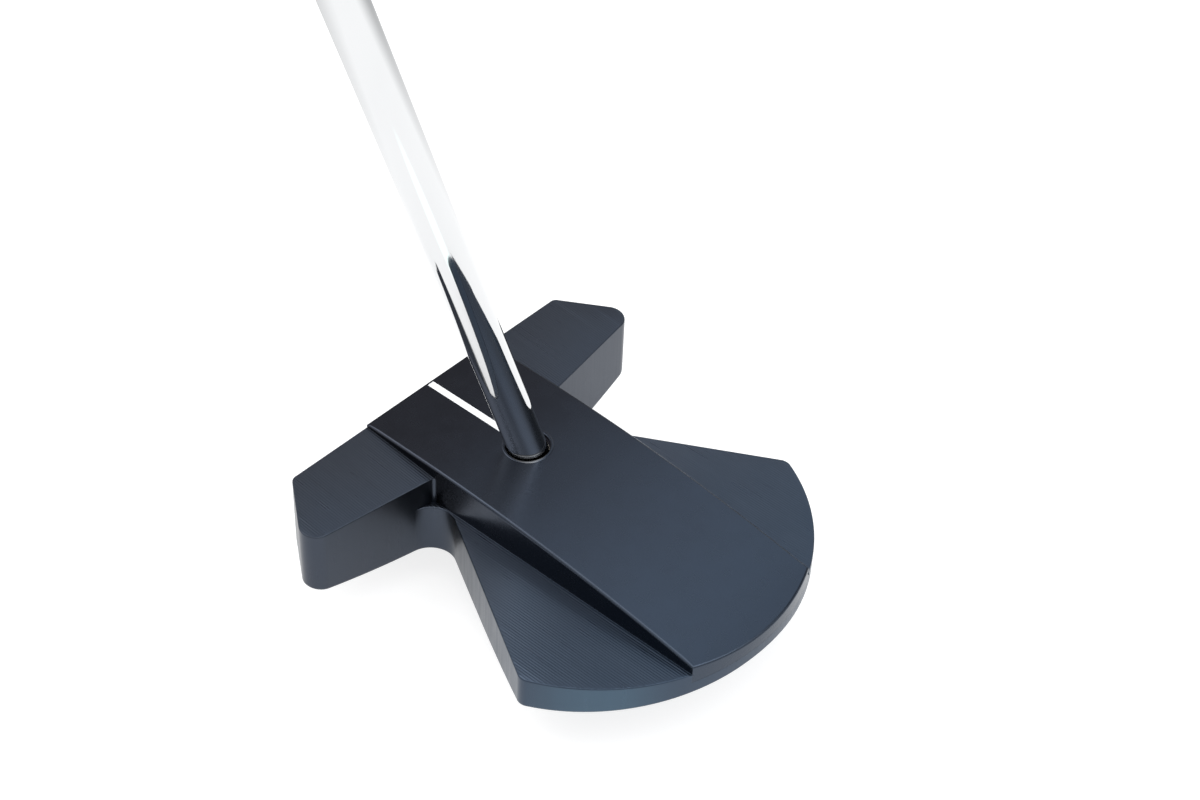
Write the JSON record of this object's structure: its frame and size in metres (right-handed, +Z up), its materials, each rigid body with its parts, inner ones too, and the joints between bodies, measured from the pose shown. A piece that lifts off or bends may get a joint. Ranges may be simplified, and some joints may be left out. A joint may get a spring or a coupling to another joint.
{
  "type": "mallet putter",
  "caption": "Right-handed centre-shafted mallet putter with a fan-backed two-piece milled head, a stepped steel shaft, a rubber grip and screw-in sole weights.",
  "frame": {"origin": "on the ground, under the middle of the face's top edge", "axes": "+Z up, +Y from the face to the rear of the head, +X from the middle to the heel, the side on which the player stands"},
  "size_m": [0.3468, 0.1076, 0.8165],
  "materials": {
    "frame_finish": "navy anodised, fine milled and matt",
    "crown_finish": "navy PVD over milled stainless steel, satin",
    "bond": "cured black adhesive film",
    "screw_steel": "black oxide",
    "line_paint": "white paint fill",
    "shaft_chrome": "polished chrome plate",
    "epoxy": "cured epoxy",
    "grip_rubber": "matt moulded rubber, fine texture",
    "cap_plastic": "fine matt",
    "tape": "paper-backed tape",
    "weight_steel": "turned stainless steel",
    "washer_rubber": "matt"
  },
  "bodies": {
    "head": {"wing_frame": "frame_finish", "center_block": "crown_finish", "bond_film": "bond", "block_screws": "screw_steel", "alignment_line": "line_paint", "shaft": "shaft_chrome", "shaft_bond": "epoxy", "grip": "grip_rubber", "grip_tape": "tape", "grip_cap": "cap_plastic"},
    "heel_front_washer": {"heel_front_washer": "washer_rubber"},
    "heel_front_weight": {"heel_front_weight": "weight_steel"},
    "heel_rear_washer": {"heel_rear_washer": "washer_rubber"},
    "heel_rear_weight": {"heel_rear_weight": "weight_steel"},
    "toe_front_washer": {"toe_front_washer": "washer_rubber"},
    "toe_front_weight": {"toe_front_weight": "weight_steel"},
    "toe_rear_washer": {"toe_rear_washer": "washer_rubber"},
    "toe_rear_weight": {"toe_rear_weight": "weight_steel"}
  },
  "joints": [
    {"name": "heel_front_travel", "type": "slide", "parent": "head", "child": "heel_front_washer", "axis": [0, 0, -1], "range_m": [0, 0.0075]},
    {"name": "heel_front_turn", "type": "hinge", "parent": "heel_front_washer", "child": "heel_front_weight", "pos_m": [0.041, 0.01, 0.00295], "axis": [0, 0, -1], "range_deg": [0, 2160]},
    {"name": "heel_rear_travel", "type": "slide", "parent": "head", "child": "heel_rear_washer", "axis": [0, 0, -1], "range_m": [0, 0.0075]},
    {"name": "heel_rear_turn", "type": "hinge", "parent": "heel_rear_washer", "child": "heel_rear_weight", "pos_m": [0.035, 0.066, 0.00282], "axis": [0, 0, -1], "range_deg": [0, 2160]},
    {"name": "toe_front_travel", "type": "slide", "parent": "head", "child": "toe_front_washer", "axis": [0, 0, -1], "range_m": [0, 0.0075]},
    {"name": "toe_front_turn", "type": "hinge", "parent": "toe_front_washer", "child": "toe_front_weight", "pos_m": [-0.041, 0.01, 0.00295], "axis": [0, 0, -1], "range_deg": [0, 2160]},
    {"name": "toe_rear_travel", "type": "slide", "parent": "head", "child": "toe_rear_washer", "axis": [0, 0, -1], "range_m": [0, 0.0075]},
    {"name": "toe_rear_turn", "type": "hinge", "parent": "toe_rear_washer", "child": "toe_rear_weight", "pos_m": [-0.035, 0.066, 0.00282], "axis": [0, 0, -1], "range_deg": [0, 2160]}
  ],
  "couplings": [
    {"joint": "heel_front_turn", "follows": "heel_front_travel", "rad_per_m": 5026.5},
    {"joint": "heel_rear_turn", "follows": "heel_rear_travel", "rad_per_m": 5026.5},
    {"joint": "toe_front_turn", "follows": "toe_front_travel", "rad_per_m": 5026.5},
    {"joint": "toe_rear_turn", "follows": "toe_rear_travel", "rad_per_m": 5026.5}
  ]
}
